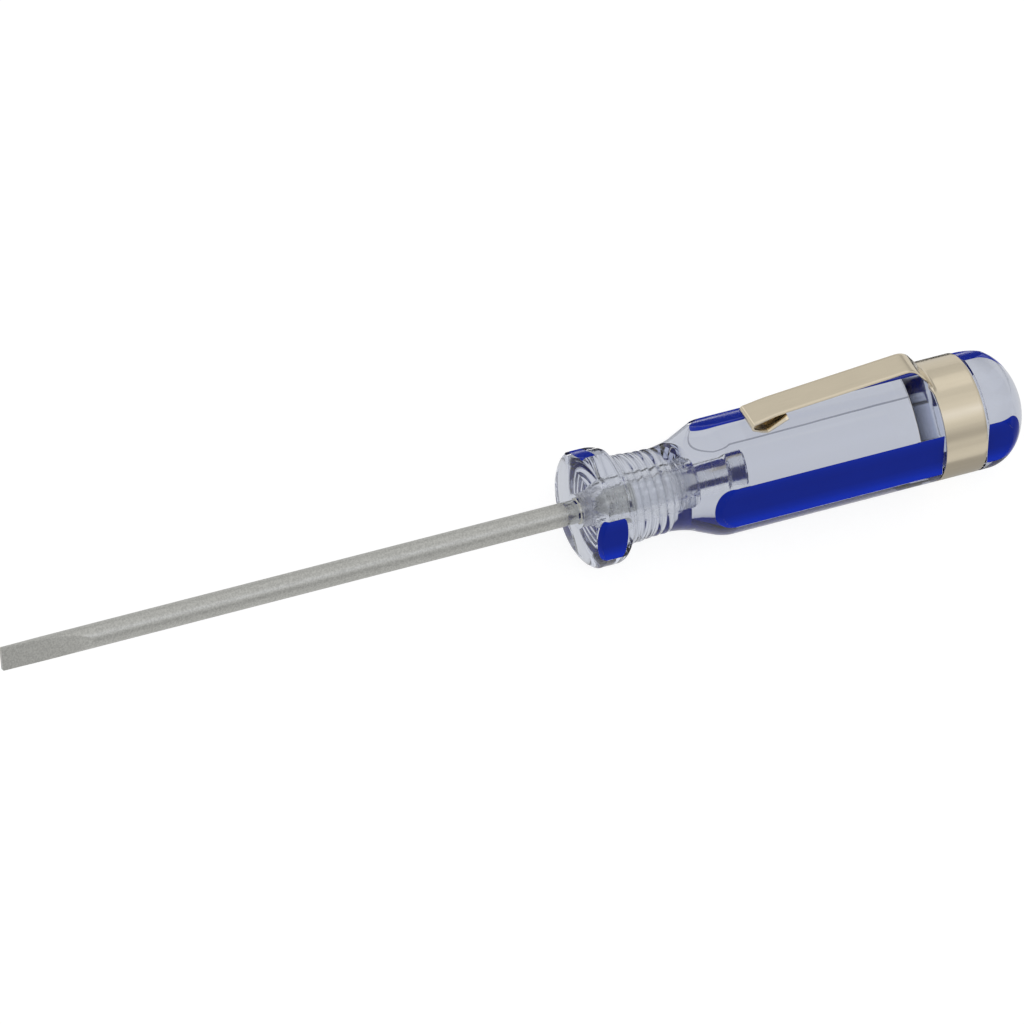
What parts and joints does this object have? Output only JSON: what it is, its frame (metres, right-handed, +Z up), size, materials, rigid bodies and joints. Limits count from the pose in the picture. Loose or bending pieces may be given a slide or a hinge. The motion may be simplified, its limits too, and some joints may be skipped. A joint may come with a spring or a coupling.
{
  "type": "pocket screwdriver",
  "caption": "Slotted pocket screwdriver: thin round blade, clear flat-sided handle with blue painted fields, and a sprung pocket clip on a turning band.",
  "frame": {"origin": "on the blade's axis, at the handle's nose face", "axes": "+X along the blade's axis from the nose face towards the domed butt, so the tip points along -X; +Z up when the tool lies on its bare flat"},
  "size_m": [0.1469, 0.016, 0.0195],
  "materials": {
    "clear_plastic": "polished clear cellulose acetate",
    "blade_steel": "satin chrome vanadium steel, polished where the handle holds it",
    "clip_nickel": "bright nickel-plated spring steel",
    "blue_paint": "gloss enamel on clear plastic"
  },
  "bodies": {
    "tool": {"handle": "clear_plastic", "blade": "blade_steel", "stripe_front": "blue_paint", "stripe_back": "blue_paint", "nose_field_front": "blue_paint", "nose_field_back": "blue_paint", "butt_field_front": "blue_paint", "butt_field_back": "blue_paint"},
    "clip_collar": {"clip_band": "clip_nickel"},
    "clip_spring": {"clip_arm": "clip_nickel"}
  },
  "joints": [
    {"name": "clip_turn", "type": "hinge", "parent": "tool", "child": "clip_collar", "pos_m": [0.0532, 0, 0], "axis": [1, 0, 0], "continuous": true},
    {"name": "clip_flex", "type": "hinge", "parent": "clip_collar", "child": "clip_spring", "pos_m": [0.04967, 0.00403, 0.00826], "axis": [0, 0.8988, -0.4384], "range_deg": [0, 6], "stiffness_Nm_per_rad": 0.4}
  ]
}
